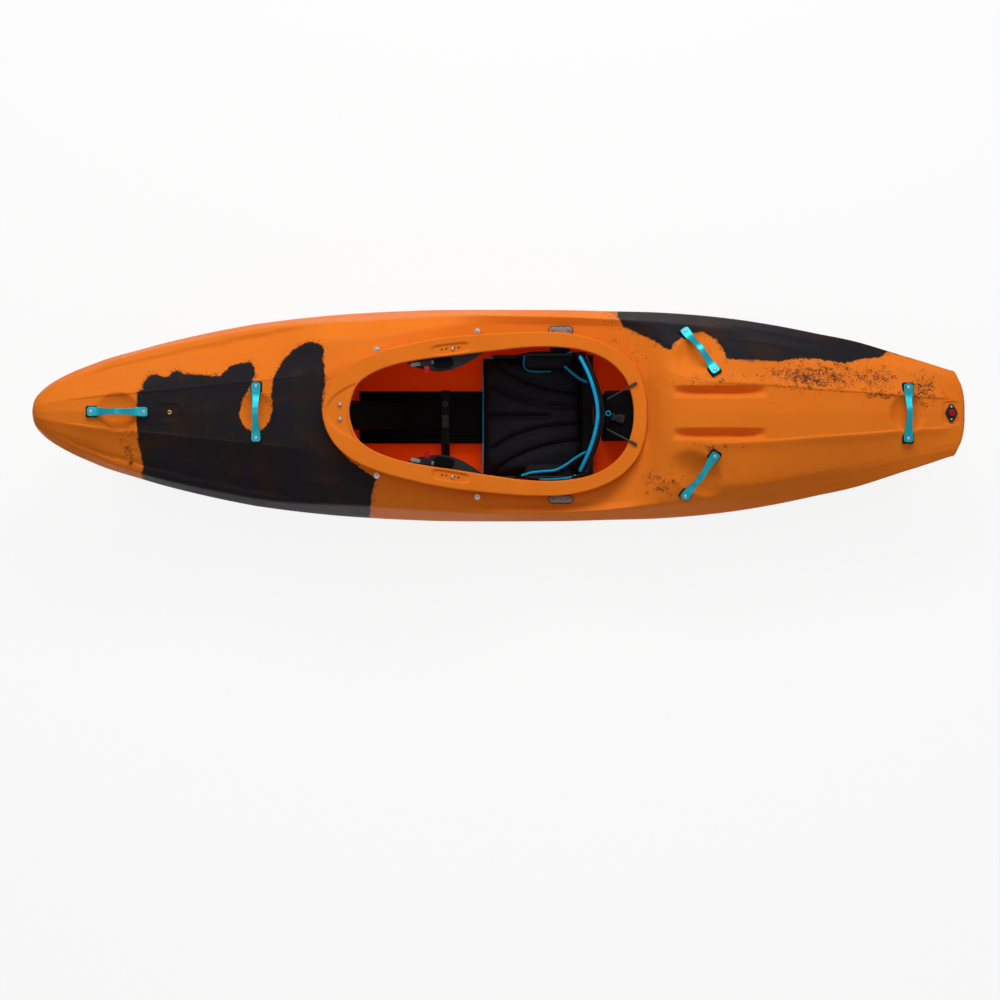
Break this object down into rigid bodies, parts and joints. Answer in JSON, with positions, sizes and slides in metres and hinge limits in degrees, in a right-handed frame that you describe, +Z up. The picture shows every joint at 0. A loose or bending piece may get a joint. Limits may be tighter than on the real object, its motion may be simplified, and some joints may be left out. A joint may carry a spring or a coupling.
{
  "type": "whitewater kayak",
  "caption": "Creek kayak: moulded hull with cockpit rim, grab handles, drain plug, seat, backband, thigh braces and footrest.",
  "frame": {"origin": "on the ground under the middle of the boat, at the centre of its bounding box", "axes": "-X towards the bow, +X towards the stern, +Y to starboard, +Z up"},
  "size_m": [2.72, 0.642, 0.417],
  "materials": {
    "hull_plastic": "orange rotomoulded polyethylene with charcoal speckled patches",
    "teal_aluminium": "teal anodised",
    "stainless": "satin",
    "brass": "satin",
    "black_plastic": "satin",
    "grey_plastic": "satin",
    "red_plastic": "gloss",
    "seal_rubber": "matt",
    "black_foam": "closed cell foam",
    "webbing": "woven",
    "seat_fabric": "woven over foam",
    "elastic_cord": "braided"
  },
  "bodies": {
    "hull": {"hull_shell": "hull_plastic", "grab_handle_bow": "teal_aluminium", "handle_bolt_bow_1": "stainless", "handle_bolt_bow_2": "stainless", "grab_handle_foredeck": "teal_aluminium", "handle_bolt_foredeck_1": "stainless", "handle_bolt_foredeck_2": "stainless", "grab_handle_rear_port": "teal_aluminium", "handle_bolt_rear_port_1": "stainless", "handle_bolt_rear_port_2": "stainless", "grab_handle_rear_starboard": "teal_aluminium", "handle_bolt_rear_starboard_1": "stainless", "handle_bolt_rear_starboard_2": "stainless", "grab_handle_stern": "teal_aluminium", "handle_bolt_stern_1": "stainless", "handle_bolt_stern_2": "stainless", "camera_insert": "brass", "drain_seat": "black_plastic", "strap_buckle": "black_plastic", "centre_beam": "black_foam", "front_pillar": "black_foam", "rear_pillar": "black_foam", "beam_strap": "webbing", "deck_bolt_front_port": "stainless", "deck_bolt_rear_port": "stainless", "rim_bolt_port": "stainless", "rail_bolt_port_1": "stainless", "rail_bolt_port_2": "stainless", "brace_bolt_port": "stainless", "foot_rail_port": "black_plastic", "seat_hanger_port": "grey_plastic", "bungee_cord_port": "elastic_cord", "deck_bolt_front_starboard": "stainless", "deck_bolt_rear_starboard": "stainless", "rim_bolt_starboard": "stainless", "rail_bolt_starboard_1": "stainless", "rail_bolt_starboard_2": "stainless", "brace_bolt_starboard": "stainless", "foot_rail_starboard": "black_plastic", "seat_hanger_starboard": "grey_plastic", "bungee_cord_starboard": "elastic_cord"},
    "seat": {"seat_pan": "black_plastic", "seat_pad": "seat_fabric", "hip_pad_port": "seat_fabric", "hip_pad_starboard": "seat_fabric"},
    "backband": {"backband_plate": "black_plastic", "backband_pad": "seat_fabric"},
    "footrest": {"footrest": "black_plastic"},
    "drain_ring": {"drain_seal": "seal_rubber"},
    "drain_plug": {"drain_plug": "red_plastic", "plug_shank": "red_plastic"},
    "brace_port": {"thigh_brace_port": "black_plastic", "ratchet_port": "black_plastic", "ladder_strap_port": "grey_plastic"},
    "lever_port": {"ratchet_lever_port": "red_plastic"},
    "brace_starboard": {"thigh_brace_starboard": "black_plastic", "ratchet_starboard": "black_plastic", "ladder_strap_starboard": "grey_plastic"},
    "lever_starboard": {"ratchet_lever_starboard": "red_plastic"}
  },
  "joints": [
    {"name": "seat_slide", "type": "slide", "parent": "hull", "child": "seat", "axis": [1, 0, 0], "range_m": [-0.07, 0]},
    {"name": "backband_fold", "type": "hinge", "parent": "seat", "child": "backband", "pos_m": [0.235, 0, 0.16], "axis": [0, 1, 0], "range_deg": [-60, 0]},
    {"name": "footrest_slide", "type": "slide", "parent": "hull", "child": "footrest", "axis": [1, 0, 0], "range_m": [-0.03, 0.03]},
    {"name": "brace_port_slide", "type": "slide", "parent": "hull", "child": "brace_port", "axis": [0.9312, -0.1455, -0.3343], "range_m": [-0.02, 0.02]},
    {"name": "lever_port_lift", "type": "hinge", "parent": "brace_port", "child": "lever_port", "pos_m": [-0.22105, -0.1324, 0.35024], "axis": [0.9312, -0.1455, -0.3343], "range_deg": [0, 50], "stiffness_Nm_per_rad": 0.01, "springref_deg": -11.46},
    {"name": "brace_starboard_slide", "type": "slide", "parent": "hull", "child": "brace_starboard", "axis": [0.9312, 0.1455, -0.3343], "range_m": [-0.02, 0.02]},
    {"name": "lever_starboard_lift", "type": "hinge", "parent": "brace_starboard", "child": "lever_starboard", "pos_m": [-0.22105, 0.1324, 0.35024], "axis": [-0.9312, -0.1455, 0.3343], "range_deg": [0, 50], "stiffness_Nm_per_rad": 0.01, "springref_deg": -11.46},
    {"name": "plug_rise", "type": "slide", "parent": "hull", "child": "drain_ring", "axis": [0, 0, 1], "range_m": [0, 0.009]},
    {"name": "plug_turn", "type": "hinge", "parent": "drain_ring", "child": "drain_plug", "pos_m": [1.316, 0, 0.31833], "axis": [0, 0, 1], "range_deg": [0, 1080]}
  ],
  "couplings": [
    {"joint": "plug_rise", "follows": "plug_turn", "m_per_rad": 0.00047746}
  ]
}
